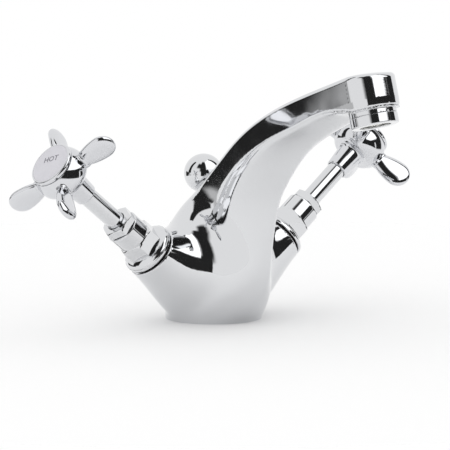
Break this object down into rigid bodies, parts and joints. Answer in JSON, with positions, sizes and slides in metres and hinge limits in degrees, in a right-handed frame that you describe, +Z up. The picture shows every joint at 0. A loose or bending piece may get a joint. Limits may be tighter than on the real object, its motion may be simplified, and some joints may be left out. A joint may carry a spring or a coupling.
{
  "type": "basin mixer tap",
  "caption": "Chrome deck-mounted basin mixer with a fixed arched spout, hot and cold crosshead valves on angled arms and a ball-topped pop-up waste lift rod.",
  "frame": {"origin": "centre of the round base, on the deck that the tap stands on", "axes": "+Z up, -Y along the spout towards the user, -X the hot side, +X the cold side"},
  "size_m": [0.23, 0.1627, 0.1374],
  "materials": {
    "body_chrome": "polished chrome plate on cast brass",
    "trim_chrome": "polished chrome plate on turned brass",
    "handle_chrome": "polished chrome plate on die-cast metal",
    "steel": "stainless steel",
    "index_enamel": "pale grey enamelled insert",
    "white_plastic": "moulded nylon",
    "ceramic": "lapped alumina",
    "fibre": "pressed fibre",
    "rubber": "black moulded rubber"
  },
  "bodies": {
    "tap_body": {"body_casting": "body_chrome", "base_seal": "rubber", "aerator_housing": "trim_chrome", "aerator_insert": "white_plastic", "aerator_washer": "rubber", "rod_bush": "white_plastic", "hot_joint_washer": "fibre", "hot_bonnet": "trim_chrome", "hot_gland_nut": "trim_chrome", "hot_gland_packing": "rubber", "hot_lower_disc": "ceramic", "hot_seat_seal": "rubber", "cold_joint_washer": "fibre", "cold_bonnet": "trim_chrome", "cold_gland_nut": "trim_chrome", "cold_gland_packing": "rubber", "cold_lower_disc": "ceramic", "cold_seat_seal": "rubber"},
    "hot_handle": {"hot_spindle": "trim_chrome", "hot_upper_disc": "ceramic", "hot_crosshead": "handle_chrome", "hot_handle_screw": "steel", "hot_index_cap": "handle_chrome", "hot_index_disc": "index_enamel"},
    "cold_handle": {"cold_spindle": "trim_chrome", "cold_upper_disc": "ceramic", "cold_crosshead": "handle_chrome", "cold_handle_screw": "steel", "cold_index_cap": "handle_chrome", "cold_index_disc": "index_enamel"},
    "lift_rod": {"lift_rod": "steel", "lift_knob": "trim_chrome"}
  },
  "joints": [
    {"name": "hot_valve", "type": "hinge", "parent": "tap_body", "child": "hot_handle", "pos_m": [-0.09839, 0, 0.08262], "axis": [-0.7859, 0, 0.6184], "range_deg": [0, 90]},
    {"name": "cold_valve", "type": "hinge", "parent": "tap_body", "child": "cold_handle", "pos_m": [0.09839, 0, 0.08262], "axis": [0.7859, 0, 0.6184], "range_deg": [-90, 0]},
    {"name": "waste_lift", "type": "slide", "parent": "tap_body", "child": "lift_rod", "axis": [0, 0, 1], "range_m": [0, 0.025]}
  ]
}
